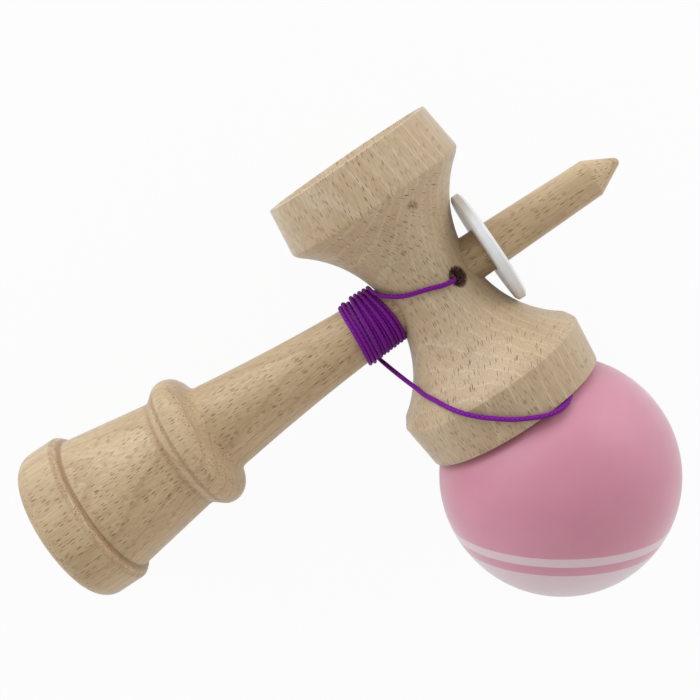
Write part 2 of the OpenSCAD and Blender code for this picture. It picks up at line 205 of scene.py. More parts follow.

# %% [markdown]
# The free stretches follow a few listed points. A smooth curve is led through all of them, then
# walked along in equal steps, so that every ring of the cord's mesh is as long as the next.

# %% Points of the free stretches
anchor_points = [(-0.3, -0.7, -0.4), (1.7, -0.7, 2.5), (3.3, -0.7, 5), (4.7, -0.7, 7.1), (5.3, -0.7, 8.4),
                 (5.6, -0.7, 9.7), (5.3, -0.6, 10.8), (4.4, -0.5, 11.5), (3, -0.2, 11.8), (1.2, 0.4, 11.9),
                 (-0.7, 1.1, 11.9), (-3.2, 1.8, 11.5), (-5.8, 2.5, 10.6), (-8, 3.4, 9.4), (-9.9, 4.6, 8.1),
                 (-11.6, 6, 6.6)]
tama_points = [(-21.3, -5.7, -6.4), (-21.1, -8.2, -3.8), (-20.1, -10.8, -0.9), (-18.9, -13.6, 2),
               (-17.7, -16.2, 4.7), (-16.7, -18.1, 7.1), (-15.6, -19.8, 11.5), (-13.9, -21.5, 15.8),
               (-12.5, -23, 19.4), (-11, -24.6, 22.3), (-9.6, -26.1, 23.7), (-8, -27.7, 24.3),
               (-4.6, -30.6, 24.8), (-1, -33.3, 24.8), (2.7, -35.5, 24.4), (6.3, -37.3, 23.6),
               (8.3, -37.9, 22.8), (10.3, -38.2, 21.5), (12.2, -38, 19.6), (13.7, -37.1, 17.3),
               (14.4, -35.5, 14.6), (14.8, -34, 11.8), (15.3, -32.8, 8.9), (15.8, -32.1, 6.1),
               (16, -31.9, 4.2), (16, -32.2, 2.8), (15.7, -32.8, 1.8)]
ball_turn, ball_dip = math.radians(32), math.radians(3.5)
ball_axis = Vector((-math.sin(ball_turn) * math.cos(ball_dip), -math.cos(ball_turn) * math.cos(ball_dip),
                    -math.sin(ball_dip)))
tama_knot_at = -5.23


def in_ball(station):
    """A place on the axis of the ball's hole, by its distance from the ball's middle."""
    return Vector((0, -ball_at, -ball_drop)) + ball_axis * station


end_points = [in_ball(station) for station in (-28.6, -26, -22, -16, -11, tama_knot_at)]
string_points = np.array([tuple(p) for p in anchor_points + turns + tama_points + end_points])
print("points of the string:", len(string_points))


# %% One smooth line through the whole string
def walked(line):
    """Length along a line up to each of its points."""
    return np.concatenate([[0], np.cumsum(np.linalg.norm(np.diff(line, axis=0), axis=1))])


def smooth_line(points, step):
    """Walks a smooth curve through the points in equal steps."""
    padded = np.vstack([2 * points[0] - points[1], points, 2 * points[-1] - points[-2]])
    pieces = []
    for a, b, c, d in zip(padded[:-3], padded[1:-2], padded[2:-1], padded[3:]):
        chord = np.linalg.norm(c - b)
        before, after = np.linalg.norm(b - a), np.linalg.norm(d - c)
        lead = chord * ((b - a) / before * chord + (c - b) / chord * before) / (before + chord)
        tail = chord * ((c - b) / chord * after + (d - c) / after * chord) / (after + chord)
        u = np.linspace(0, 1, max(3, int(chord / step * 2)), endpoint=False)[:, None]
        pieces.append((2 * u ** 3 - 3 * u ** 2 + 1) * b + (u ** 3 - 2 * u ** 2 + u) * lead
                      + (3 * u ** 2 - 2 * u ** 3) * c + (u ** 3 - u ** 2) * tail)
    line = np.vstack(pieces + [points[-1:]])
    lengths = walked(line)
    stations = np.linspace(0, lengths[-1], int(lengths[-1] / step) + 1)
    return np.stack([np.interp(stations, lengths, line[:, k]) for k in range(3)], axis=1)


def eased(line, reach):
    """Takes small kinks out of a line by averaging each point with those around it."""
    weights = np.hanning(2 * reach + 3)[1:-1]
    weights /= weights.sum()
    padded = np.vstack([np.repeat(line[:1], reach, 0), line, np.repeat(line[-1:], reach, 0)])
    return np.stack([np.convolve(column, weights, "valid") for column in padded.T], axis=1)


ring_step = 0.18
wound_r, free_r = 0.53, 0.6
winding_end_at, winding_reach = -11, 9.8
string_line = eased(smooth_line(string_points, ring_step), 4)
off_axis = np.hypot(string_line[:, 1], string_line[:, 2])
wound = (string_line[:, 0] < winding_end_at) & (off_axis < winding_reach)
string_r = eased(np.where(wound, wound_r, free_r)[:, None], 20)[:, 0]

# %% [markdown]
# ## A braided cord
# A braid has strands going round both ways, each passing over one and under the next. As a mesh it is a
# tube whose radius rises over the strands. The UV map counts strands instead of pixels, so the finish can
# colour the same strands later. A plain curve with a bevel would be quicker, but it would look like wire.

# %% The braid's relief and counts
strand_lay = 1.15
strands = 4
cord_sides = 16
relief = 0.05


def braid_height(u, v):
    """Height of the braid's surface, 0 to 1, by the counts of strands along it and round it."""
    over = np.sin(math.pi * (v + u))
    under = np.sin(math.pi * (v - u))
    on_top = 0.5 + 0.5 * np.clip(2 * over * under, -1, 1)
    return np.maximum(np.abs(over) * (0.6 + 0.4 * on_top), np.abs(under) * (1 - 0.4 * on_top))


def strand_counts(lays):
    """UV corners of a tube's faces, as counts of strands along it and round it; its ends get none."""
    shape = (len(lays) - 1, cord_sides)
    u = np.broadcast_to(lays[:-1, None], shape)
    u_next = np.broadcast_to(lays[1:, None], shape)
    v = np.broadcast_to(strands * np.arange(cord_sides) / cord_sides, shape)
    v_next = v + strands / cord_sides
    wall = np.stack([u, v, u, v_next, u_next, v_next, u_next, v], axis=2).reshape(-1)
    ends = np.zeros(4 * cord_sides)
    return np.concatenate([wall, ends]).astype(np.float32)


print("braid of", strands, "strands,", strand_lay, "mm for each along the cord")


# %% The braided tube
def square_ways(line):
    """Two directions square to a line at each of its points, carried along it without a twist."""
    ahead = np.gradient(line, axis=0)
    ahead /= np.linalg.norm(ahead, axis=1)[:, None]
    side = np.zeros_like(line)
    start = np.cross(ahead[0], (0.3, 0.9, 0.1))
    for i, way in enumerate(ahead):
        start = start - way * start.dot(way)
        start /= np.linalg.norm(start)
        side[i] = start
    return side, np.cross(ahead, side)


def tube_faces(rings):
    """Faces of a tube from ring to ring, and its two ends."""
    first = np.arange(rings - 1)[:, None] * cord_sides
    j = np.arange(cord_sides)
    nxt = (j + 1) % cord_sides
    quads = np.stack([first + j, first + nxt, first + nxt + cord_sides, first + j + cord_sides], axis=2)
    near_end = list(range(cord_sides - 1, -1, -1))
    far_end = list(range((rings - 1) * cord_sides, rings * cord_sides))
    return quads.reshape(-1, 4).tolist() + [near_end, far_end]


def braided_tube(name, line, radius):
    """A mesh tube with the relief of a braid, along a line in millimetres, with a radius for each ring."""
    side, rise = square_ways(line)
    lays = walked(line) / strand_lay
    angles = np.arange(cord_sides) / cord_sides
    heights = braid_height(lays[:, None], strands * angles[None, :])
    reach = radius[:, None] * (1 - relief + relief * heights)
    spokes = (side[:, None] * np.cos(2 * math.pi * angles)[None, :, None]
              + rise[:, None] * np.sin(2 * math.pi * angles)[None, :, None])
    points = line[:, None] + spokes * reach[:, :, None]
    matrix = np.array(toy_place)
    points = points.reshape(-1, 3) * MM @ matrix[:3, :3].T + matrix[:3, 3]
    mesh = bpy.data.meshes.new(name)
    mesh.from_pydata(points.tolist(), [], tube_faces(len(line)))
    mesh.uv_layers.new(name="strands").data.foreach_set("uv", strand_counts(lays))
    mesh.polygons.foreach_set("use_smooth", np.ones(len(mesh.polygons), bool))
    mesh.update()
    tube = bpy.data.objects.new(name, mesh)
    bpy.context.scene.collection.objects.link(tube)
    return tube


string = braided_tube("string", string_line, string_r)
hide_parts("string_anchor_run", "string_winding", "string_tama_run", "string_end")
print(string.name, len(string.data.polygons), "faces")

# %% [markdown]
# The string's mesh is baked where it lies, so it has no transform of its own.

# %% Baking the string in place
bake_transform(string)

# %% [markdown]
# The string ends in two overhand knots, one in a pocket inside the ken and one on the bead inside the
# ball. A pulled overhand knot is close to a trefoil, a curve with a short formula, swept with the same
# braid.

# %% Knots
def overhand(name, middle, axis, size, cord_r):
    """A small trefoil knot of braided cord, square to an axis."""
    t = np.linspace(0, 2 * math.pi, 141)
    loop = np.stack([np.sin(t) + 2 * np.sin(2 * t),
                     np.cos(t) - 2 * np.cos(2 * t),
                     -1.2 * np.sin(3 * t)], axis=1)
    turn = np.array(Vector((0, 0, 1)).rotation_difference(Vector(axis)).to_matrix())
    return braided_tube(name, loop * size @ turn.T + np.array(middle), np.full(len(t), cord_r))


hole_lean = math.radians(33.7)
hole_axis = Vector((math.sin(hole_lean), 0, math.cos(hole_lean)))
hole_middle = Vector((0, -0.7, 0))
ken_knot_depth = 0.45
ken_knot = overhand("ken_knot_tied", hole_middle - hole_axis * ken_knot_depth, hole_axis, 0.46, 0.42)
tama_knot = overhand("tama_knot_tied", in_ball(tama_knot_at), ball_axis, 0.27, 0.36)
for knot, node, body in ((ken_knot, "ken_knot", "handle"), (tama_knot, "tama_knot", "swivel")):
    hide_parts(node)
    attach(knot, body)
    print(knot.name, [round(v * 1000, 1) for v in knot.dimensions], "mm")

# %% [markdown]
# ## Turning on the lathe
# All the hard pieces are turned: an outline goes once round an axis. By hand one would add a plane, merge
# it to a single point, extrude that point along the outline and spin it. The helper does exactly that.
# Corners that a maker would sand over are given with a radius and are rounded before the outline is
# drawn.

# %% Outline helpers
corner_steps = 4


def arc(middle, r, start, end, count):
    """Points of an arc in an outline, between two angles in degrees."""
    angles = [math.radians(mix(start, end, i / count)) for i in range(count + 1)]
    return [(middle[0] + r * math.cos(a), middle[1] + r * math.sin(a)) for a in angles]


def softened(points):
    """Rounds each corner that comes with a third number, its radius."""
    outline = []
    for i, point in enumerate(points):
        here = Vector(point[:2])
        if len(point) == 2:
            outline.append(here)
            continue
        to_last = (Vector(points[i - 1][:2]) - here).normalized()
        to_next = (Vector(points[(i + 1) % len(points)][:2]) - here).normalized()
        half = to_last.angle(to_next) / 2
        reach = point[2] / math.tan(half)
        middle = here + (to_last + to_next).normalized() * point[2] / math.sin(half)
        start, end = here + to_last * reach - middle, here + to_next * reach - middle
        shares = [k / corner_steps for k in range(corner_steps + 1)]
        outline += [middle + start.lerp(end, share).normalized() * point[2] for share in shares]
    return outline


def bowl(lip_r, depth, rim, outward, count=14):
    """Outline of a cup from its lip to its middle."""
    r = (lip_r ** 2 + depth ** 2) / (2 * depth)
    lip = math.degrees(math.asin(lip_r / r))
    points = arc((0, 0), r, 90 - lip, 90, count)
    return [(x, rim + outward * (r - depth) - outward * y) for x, y in points]


def rod(r, start, end):
    """Outline of a plain drill."""
    return [(0, start), (r, start), (r, end), (0, end)]


print("outline helpers ready")


# %% Lathe helpers
def only(piece):
    """Makes a piece the one that operators act on."""
    bpy.ops.object.select_all(action="DESELECT")
    piece.select_set(True)
    bpy.context.view_layer.objects.active = piece


def turned(name, outline, place, steps=144):
    """Spins an outline of radius and station, in millimetres, round the Z axis of a place."""
    bpy.ops.object.select_all(action="DESELECT")
    bpy.ops.mesh.primitive_plane_add(size=MM)
    piece = bpy.context.object
    piece.name = piece.data.name = name
    bpy.ops.object.mode_set(mode="EDIT")
    bpy.ops.mesh.select_all(action="SELECT")
    bpy.ops.mesh.merge(type="CENTER")
    here = Vector((0, 0, 0))
    for i, (radius, station) in enumerate(outline):
        step = Vector((radius, 0, station)) * MM - here
        if i == 0:
            bpy.ops.transform.translate(value=step)
        else:
            bpy.ops.mesh.extrude_region_move(TRANSFORM_OT_translate={"value": step})
        here += step
    bpy.ops.mesh.select_all(action="SELECT")
    bpy.ops.mesh.spin(steps=steps, angle=2 * math.pi, center=(0, 0, 0), axis=(0, 0, 1))
    bpy.ops.mesh.select_all(action="SELECT")
    bpy.ops.mesh.remove_doubles(threshold=0.002 * MM)
    bpy.ops.mesh.normals_make_consistent(inside=False)
    bpy.ops.object.mode_set(mode="OBJECT")
    piece.matrix_world = place
    bpy.ops.object.transform_apply(location=True, rotation=True, scale=True)
    return piece


def carve(piece, cutter):
    """Takes the cutter's shape out of a piece."""
    only(piece)
    bpy.ops.object.modifier_add(type="BOOLEAN")
    cut = piece.modifiers[-1]
    cut.operation = "DIFFERENCE"
    cut.solver = "EXACT"
    cut.object = cutter
    bpy.ops.object.modifier_apply(modifier=cut.name)
    bpy.data.objects.remove(cutter)


def sand(piece, degrees=32):
    """Shades the faces smoothly, and keeps edges sharper than an angle."""
    only(piece)
    bpy.ops.object.shade_smooth_by_angle(angle=math.radians(degrees))


print("lathe ready")


# %% Axes for the lathe
def along(way, middle=(0, 0, 0)):
    """A place on the table whose Z axis runs along a direction of the toy."""
    turn = Vector((0, 0, 1)).rotation_difference(Vector(way)).to_matrix().to_4x4()
    return Matrix.Translation(toy(*middle)) @ turn_to_table @ turn


ken_place = along((1, 0, 0))
cups_place = along((0, 1, 0))
ball_place = along(ball_axis, in_ball(0))
hole_place = along(hole_axis, hole_middle)
print("ball's middle at", [round(v * 1000, 2) for v in ball_place.translation], "mm")

# %% [markdown]
# ## The ken
# The handle is one turning: a hollow under the base, a rounded foot with a burnt groove above it, a
# flare, a collar, the long grip, the taper that the cross-piece is pushed on to, and the blunt spike. It
# could be stacked from cylinders and cones, but one outline leaves no joints between them. The passage
# for the string and the pocket for its knot are drilled afterwards, with Boolean modifiers.

# %% Ken
base_at, base_cup_r, base_cup_depth = -111.4, 15.2, 5.5
foot_r, foot_round = 20.6, 4.5
flare_r, flare_at, flare_top_r, flare_top_at = 18.38, -97.75, 14.75, -76
collar_r, collar_at, collar_round = 17.5, -69.7, 4.5
grip_at, fillet_r = -62.2, 3
spike_root_r = 5.75
passage_r, pocket_r, pocket_end, drill_len = 0.9, 2.3, 1.5, 13.2

ken_outline = bowl(base_cup_r, base_cup_depth, base_at, -1, 10)[:0:-1]
ken_outline += [(base_cup_r, base_at, 0.25)]
ken_outline += arc((foot_r - foot_round, base_at + foot_round), foot_round, -90, 0, 10)
ken_outline += [(foot_r, -99.9, 1.1), (19.6, -98.8, 0.7), (18.25, -98.3, 0.4), (flare_r, flare_at, 0.3)]
for k in range(1, 9):
    ken_outline += [(mix(flare_r, flare_top_r, k / 8), mix(flare_at, flare_top_at, k / 8))]
ken_outline += [(14.7, -74.7, 1.6), (16.6, -72.2, 0.9)]
ken_outline += arc((collar_r - collar_round, collar_at), collar_round, -24, 84, 16)
ken_outline += arc((grip_r + fillet_r, grip_at), fillet_r, 247, 180, 8)
ken_outline += [(grip(x), x) for x in [mix(grip_at, -waist_r, k / 24) for k in range(1, 24)]]
ken_outline += [(neck_r, -waist_r), (spike_root_r, waist_r), (5.45, 22), (5.15, 34), (4.85, 46.4, 0.9)]
ken_outline += [(1.4, 52.75), (1.24, 53.1), (0.98, 53.5), (0.62, 53.82), (0.25, 54), (0, 54.04)]
ken = turned("ken_turned", softened(ken_outline), ken_place)
carve(ken, turned("passage_drill", rod(passage_r, 0, drill_len), hole_place, 32))
carve(ken, turned("pocket_drill", rod(pocket_r, -drill_len, pocket_end), hole_place, 32))
sand(ken)
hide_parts("ken")
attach(ken, "handle")
print(ken.name, len(ken.data.polygons), "faces")

# %% [markdown]
# ## The sarado
# The cross-piece carries a large and a small cup with a saddle turned between them. It is drilled through
# for the ken, on a taper, and a slanting hole lets the string out of the waist. Faces could be cut and
# joined by hand there, but a turned cutter and a Boolean modifier follow the curved walls by themselves.
# The string's hole is torn in use, so the drill that cuts it gets a ragged mouth.

# %% Sarado
big_depth, big_rim_r = 12.9, 23.7
small_rim_at, small_lip_r, small_depth, small_rim_r = 37, 20.6, 11, 22.3
saddle_r = 30
saddle_from, saddle_to = -24.2, 23.6
ken_clearance = 0.1
reamer_reach = 17.9


def saddle(y):
    """Radius of the saddle at a station along the cups."""
    return waist_r + saddle_r - math.sqrt(saddle_r ** 2 - y ** 2)


sarado_outline = bowl(big_lip_r, big_depth, -big_rim_at, -1)[:0:-1]
sarado_outline += [(big_lip_r, -big_rim_at, 0.3), (big_rim_r, -big_rim_at, 0.35), (24.85, -26.3, 0.6)]
sarado_outline += [(saddle(y), y) for y in [mix(saddle_from, saddle_to, k / 40) for k in range(41)]]
sarado_outline += [(23.82, 24.9, 1.1), (small_rim_r, small_rim_at, 0.4), (small_lip_r, small_rim_at, 0.3)]
sarado_outline += bowl(small_lip_r, small_depth, small_rim_at, 1)[1:]
sarado = turned("sarado_turned", softened(sarado_outline), cups_place, 160)
seat_r = (spike_root_r + neck_r) / 2 + ken_clearance
seat_slope = (spike_root_r - neck_r) / (2 * waist_r)
reamer_outline = [(0, -reamer_reach)]
reamer_outline += [(seat_r + seat_slope * x, x) for x in (-reamer_reach, reamer_reach)]
reamer_outline += [(0, reamer_reach)]
carve(sarado, turned("taper_reamer", reamer_outline, ken_place, 96))

# %% The torn hole of the string
string_hole_r, drill_end = 1.8, 13.5
torn_from, ragged_from = 9.5, 10.8
drill_outline = [(0, 0), (string_hole_r, 0), (string_hole_r, 9.4), (1.85, 10), (1.9, 10.6), (2, 11.2)]
drill_outline += [(2.15, 11.8), (2.6, drill_end), (0, drill_end)]
drill = turned("string_drill", drill_outline, hole_place, 40)
rng = np.random.default_rng(7)
to_hole = hole_place.inverted()
for vertex in drill.data.vertices:
    spot = to_hole @ vertex.co
    if spot.z > torn_from * MM and spot.xy.length > 1 * MM:
        spot.x = 0.4 * MM + spot.x * (1.04 + 0.05 * rng.standard_normal())
        spot.y *= 1.15 + 0.3 * abs(rng.standard_normal()) * (spot.z > ragged_from * MM)
        vertex.co = hole_place @ spot
carve(sarado, drill)
sand(sarado)
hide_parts("sarado")
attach(sarado, "handle")
print(sarado.name, len(sarado.data.polygons), "faces")

# %% [markdown]
# ## The tama and its bead
# The ball is turned with its hole, the chamber for the bead and the fine bore for the string in one
# closed outline. A sphere with holes cut into it would do as well, but an outline can round the edges of
# the holes. The bead sits in the chamber and lets the ball spin without twisting the string.

# %% Tama
ball_hole_r, ball_hole_lip_r, ball_hole_floor = 7, 7.5, -4
chamber_r, chamber_floor = 4.75, -10
bore_r, bore_lip_r = 1, 2.9
bore_top = chamber_floor - (chamber_r - bore_r)
skin_from = math.degrees(math.asin(bore_lip_r / ball_r))
skin_to = math.degrees(math.asin(ball_hole_lip_r / ball_r))
tama_outline = arc((0, 0), ball_r, -90 + skin_from, 90 - skin_to, 72)[1:]
tama_outline += [(7.35, 28.95, 0.2), (ball_hole_r, 28.5, 0.3), (ball_hole_r, 12)]
tama_outline += [(ball_hole_r, ball_hole_floor, 0.3), (chamber_r, ball_hole_floor, 0.3)]
tama_outline += [(chamber_r, chamber_floor, 0.2), (bore_r, bore_top, 0.2), (bore_r, -20)]
tama_outline += [(bore_r, -27.6, 0.4), (2.8, -29.8, 0.4)]
tama_outline = softened(tama_outline)
tama = turned("tama_turned", tama_outline + tama_outline[:1], ball_place, 128)
sand(tama)
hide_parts("tama")
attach(tama, "ball")
print(tama.name, [round(v * 1000, 1) for v in tama.dimensions], "mm")

# %% Bead
bead_at = -9.73
bead_r, bead_lip_r, bead_hole_r, bead_hole_end = 3.3, 1.1, 0.8, 2.75
bead_lip = math.degrees(math.asin(bead_lip_r / bead_r))
bead_outline = arc((0, 0), bead_r, -90 + bead_lip, 90 - bead_lip, 24)
bead_outline += [(bead_hole_r, bead_hole_end, 0.2), (bead_hole_r, 0), (bead_hole_r, -bead_hole_end, 0.2)]
bead_outline = softened(bead_outline)
bead = turned("bead_turned", bead_outline + bead_outline[:1], along(ball_axis, in_ball(bead_at)), 48)
sand(bead)
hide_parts("bead")
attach(bead, "swivel")
print(bead.name, [round(v * 1000, 1) for v in bead.dimensions], "mm")

# %% [markdown]
# ## The ring
# A moulded white ring sits loosely on the spike, a little off the saddle, and leans. A torus would be too
# round for it, so it is turned from a flat outline, with the edges that the mould has rounded.

# %% Ring
ring_r, ring_hole_r, ring_t, ring_bevel = 15, 6, 2.9, 0.6
ring_lean, ring_seat_gap = 2.5, 0.25
ring_at = saddle(ring_r - ring_bevel) + ring_seat_gap
ring_turn = Matrix.Rotation(math.radians(90 + ring_lean), 4, "Y")
ring_place = Matrix.Translation(toy(ring_at, 0, 0)) @ turn_to_table @ ring_turn
ring_outline = [(ring_hole_r, 0, 0.25), (14.2, 0.05, 0.6), (ring_r, ring_bevel, 0.35)]
ring_outline += [(ring_r, ring_t - ring_bevel, 0.35), (14.2, 2.85, 0.6), (ring_hole_r, ring_t, 0.25)]
ring_outline = softened(ring_outline)
ring = turned("ring_moulded", ring_outline + ring_outline[:1], ring_place, 128)
sand(ring, 40)
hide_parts("retaining_ring")
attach(ring, "ring")
print(ring.name, [round(v * 1000, 1) for v in ring.dimensions], "mm")

# %% [markdown]
# ## Finishes as sums
# Node trees get long, so a small class wraps a socket: adding or multiplying two of them adds a Math
# node, and one method makes every other kind of node. Short functions stand for the nodes that come up
# most. A finish then reads like the recipe that it is.

# %% The finish helper
class Tint:
    """A socket in a finish, which can be used in sums."""

    def __init__(self, tree, socket=None):
        self.tree = tree
        self.socket = socket

    def give(self, socket, value):
        """Links another Tint to a socket of this tree, or sets a plain value on it."""
        if isinstance(value, Tint):
            self.tree.links.new(value.socket, socket)
        else:
            socket.default_value = value

    def node(self, kind, settings=None, sockets=None, output=0):
        """Adds any node: its settings first, then the values or links of its sockets."""
        made = self.tree.nodes.new(kind)
        for name, value in (settings or {}).items():
            setattr(made, name, value)
        for name, value in (sockets or {}).items():
            self.give(made.inputs[name], value)
        return Tint(self.tree, made.outputs[output])

    def other(self, output):
        """Another output of the same node."""
        return Tint(self.tree, self.socket.node.outputs[output])

    def math(self, operation, a, b=0):
        """Adds a Math node."""
        return self.node("ShaderNodeMath", {"operation": operation}, {0: a, 1: b})

    def __add__(self, other):
        return self.math("ADD", self, other)

    def __sub__(self, other):
        return self.math("SUBTRACT", self, other)

    def __rsub__(self, other):
        return self.math("SUBTRACT", other, self)

    def __mul__(self, other):
        return self.math("MULTIPLY", self, other)

    __radd__ = __add__
    __rmul__ = __mul__


print("finish helper ready")


# %% Short words for common nodes
def between(value, low, high):
    """0 below low, 1 above high and smooth between; low may be the larger."""
    return value.node("ShaderNodeMapRange", {"interpolation_type": "SMOOTHSTEP"},
                      {"Value": value, "From Min": low, "From Max": high})


def band(value, start, full, fade, end):
    """1 from full to fade, and 0 before start and after end."""
    return between(value, start, full) * between(value, end, fade)


def blend(share, first, second):
    """A mix of two colours."""
    return share.node("ShaderNodeMix", {"data_type": "RGBA"}, {0: share, 6: first, 7: second}, 2)


def dot(vector, way):
    """How far a vector reaches along a direction."""
    return vector.node("ShaderNodeVectorMath", {"operation": "DOT_PRODUCT"}, {0: vector, 1: way}, 1)


def stretched(vector, ways, scales):
    """Coordinates along three directions, each with its own scale per metre."""
    parts = [dot(vector, tuple(Vector(way) * scale)) for way, scale in zip(ways, scales)]
    return vector.node("ShaderNodeCombineXYZ", None, {"X": parts[0], "Y": parts[1], "Z": parts[2]})


def noise(vector, scale=1.0, detail=2.0, rough=0.5):
    """Cloudy values round 0.5."""
    return vector.node("ShaderNodeTexNoise", None,
                       {"Vector": vector, "Scale": scale, "Detail": detail, "Roughness": rough})


def bumped(height, strength, distance):
    """A normal for a relief, by its strength and its depth in metres."""
    return height.node("ShaderNodeBump", None,
                       {"Strength": strength, "Distance": distance, "Height": height})


def rgb(red, green, blue):
    """A colour as a screen shows it, from 0 to 255, in the linear values that shaders use."""
    shares = [value / 255 for value in (red, green, blue)]
    linear = [c / 12.92 if c <= 0.04 else ((c + 0.055) / 1.055) ** 2.4 for c in shares]
    return (*linear, 1)


def new_finish(name):
    """A new material with its shader, and the place of each point as a first socket."""
    material = bpy.data.materials.new(name)
    material.use_nodes = True
    shader = material.node_tree.nodes["Principled BSDF"]
    place = Tint(material.node_tree).node("ShaderNodeTexCoord", None, None, "Object")
    return material, shader, place


def feed(tint, shader, **sockets):
    """Gives a shader in the same tree its links and values, by the names of its sockets."""
    for name, value in sockets.items():
        tint.give(shader.inputs[name.replace("_", " ")], value)


print("short words ready")

# %% [markdown]
# ## Beech
# Beech is pale and even, with faint growth rings and many short dark flecks, where its rays end. Rings
# are layers, so they come from a distance to a far-off pith, bent by noise. A ray is a thin plate that
# runs outwards from the pith: it shows as a dash where it is cut across and as a pale patch where it lies
# in the surface. The cells of a Voronoi texture, stretched along the grain and along the rays, make such
# plates, and only some cells get one. Fibres are a noise stretched even more. A picture of wood would
# show a seam on turned pieces, and these solid textures are cut through as real wood is.

# %% Beech finish
rings_per_metre = 330
ring_wander = 0.006


def beech(name, grain, layers, rays, pith_off, fleck, tone):
    """Bare beech, by the ways of its grain, layers and rays, the pith's distance in metres, a fleck's size
    in millimetres, and its tone: light and dark wood, brown fibres, ring lines and flecks."""
    material, shader, place = new_finish(name)
    turn = turn_to_table.to_3x3()
    grain_way, layer_way, ray_way = [turn @ Vector(way).normalized() for way in (grain, layers, rays)]
    cross_way = grain_way.cross(layer_way)
    ways = (grain_way, layer_way, cross_way)
    light, dark, brown, line, speck = tone
    wander = noise(stretched(place, ways, (14, 60, 60)), detail=3.0)
    depth = dot(place, tuple(layer_way)) + (pith_off - crossing.dot(layer_way))
    across = dot(place, tuple(cross_way)) - crossing.dot(cross_way)
    from_pith = depth.math("POWER", depth * depth + across * across, 0.5) + wander * ring_wander
    ring = from_pith.math("FRACT", from_pith * rings_per_metre)
    late = band(ring, 0.7, 0.96, 0.97, 1.0)
    fibre = noise(stretched(place, ways, (180, 2900, 2900)), rough=0.6)
    cloud = noise(stretched(place, ways, (25, 90, 90)), detail=3.0)
    plate_way = grain_way.cross(ray_way)
    plates = stretched(place, (grain_way, ray_way, plate_way), [1000 / size for size in fleck])
    cell = {"Vector": plates, "Scale": 1.0, "Randomness": 1.0}
    near = place.node("ShaderNodeTexVoronoi", None, cell, "Distance")
    lot = place.node("ShaderNodeTexVoronoi", None, cell, "Color")
    lot = lot.node("ShaderNodeSeparateColor", None, {0: lot}, 0)
    facing = dot(place.other("Normal"), tuple(plate_way))
    lying = between(facing * facing, 0.25, 0.85)
    dash = between(near, 0.33, 0.22) * between(lot, 0.36, 0.42) * (1 - 0.7 * lying)
    colour = blend(between(cloud, 0.3, 0.7), light, dark)
    colour = blend(late * 0.4, colour, line)
    colour = blend(between(fibre, 0.3, 0.7) * 0.38, colour, brown)
    colour = blend(dash * (0.1 + 0.85 * lot), colour, speck)
    bump = bumped(fibre * 0.35 - dash * 0.6 + cloud * 0.2, 0.5, 0.12 * MM)
    feed(place, shader, Normal=bump, Roughness=0.44 + 0.16 * fibre + 0.1 * dash,
         Specular_IOR_Level=0.5, Sheen_Weight=0.45, Sheen_Roughness=0.35)
    return material, shader, place, colour


def stain(place, spot, radius, soft):
    """1 near a place of the toy and 0 away from it, in millimetres."""
    ends = {0: place, 1: tuple(toy(*spot))}
    far = place.node("ShaderNodeVectorMath", {"operation": "DISTANCE"}, ends, 1)
    return between(far, (radius + soft) * MM, radius * MM)


ken_tone = [rgb(210, 184, 145), rgb(194, 167, 127), rgb(152, 118, 78), rgb(168, 135, 94),
            rgb(76, 46, 24)]
sarado_tone = [rgb(207, 184, 150), rgb(194, 169, 134), rgb(154, 122, 86), rgb(222, 204, 174),
               rgb(98, 62, 36)]
print("beech mixed")

# %% [markdown]
# A burnt line darkens the groove above the foot, and a fainter brown line its shoulder; brown bands lie
# under the collar and on its crest. The bands in the groove and under the collar also hold painted shade
# of those hollows. The station along the ken picks those lines out. Where the string comes out, the torn
# fibres of the cross-piece are dark and the hole is painted dark brown as shade inside it, and a few small
# smudges lie on its saddle.

# %% Beech on the ken
ken_wood, shader, place, colour = beech("ken_beech", (1, 0.02, 0), (0, 0.45, 0.9), (0, 0.2, 1), 0.055,
                                        (2.7, 0.8, 0.3), ken_tone)
station = (dot(place, tuple(spike_way)) - crossing.dot(spike_way)) * 1000
burnt_line_and_groove_shade = band(station, -98.9, -98.4, -98.1, -97.5)
shoulder = band(station, -100.4, -99.9, -99.5, -99.0)
collar_line_and_shade = band(station, -75.8, -74.8, -74.4, -73.6)
crest = band(station, -72.8, -72.1, -71.7, -71.0)
# The groove's band is a burnt line with painted shade of the groove; the shoulder's band is a fainter
# brown line.
colour = blend(burnt_line_and_groove_shade * 0.6 + shoulder * 0.25, colour, rgb(140, 98, 64))
# The band under the collar is a brown line with painted shade of its corner; the crest gets a brown band.
colour = blend(collar_line_and_shade * 0.3 + crest * 0.5, colour, rgb(146, 106, 66))
feed(place, shader, Base_Color=colour)
ken.data.materials.append(ken_wood)
print("beech on", ken.name)

# %% Beech on the sarado and the bead
sarado_wood, shader, place, colour = beech("sarado_beech", (0, 1, 0), (-0.72, 0, 0.69), (-0.5, 0, 0.87),
                                           0.06, (2.3, 4, 0.28), sarado_tone)
torn_fibres = stretched(place, (cups_way, spike_way, up_way), (500, 2400, 2400))
torn_fibres = noise(torn_fibres, detail=3.0, rough=0.7)
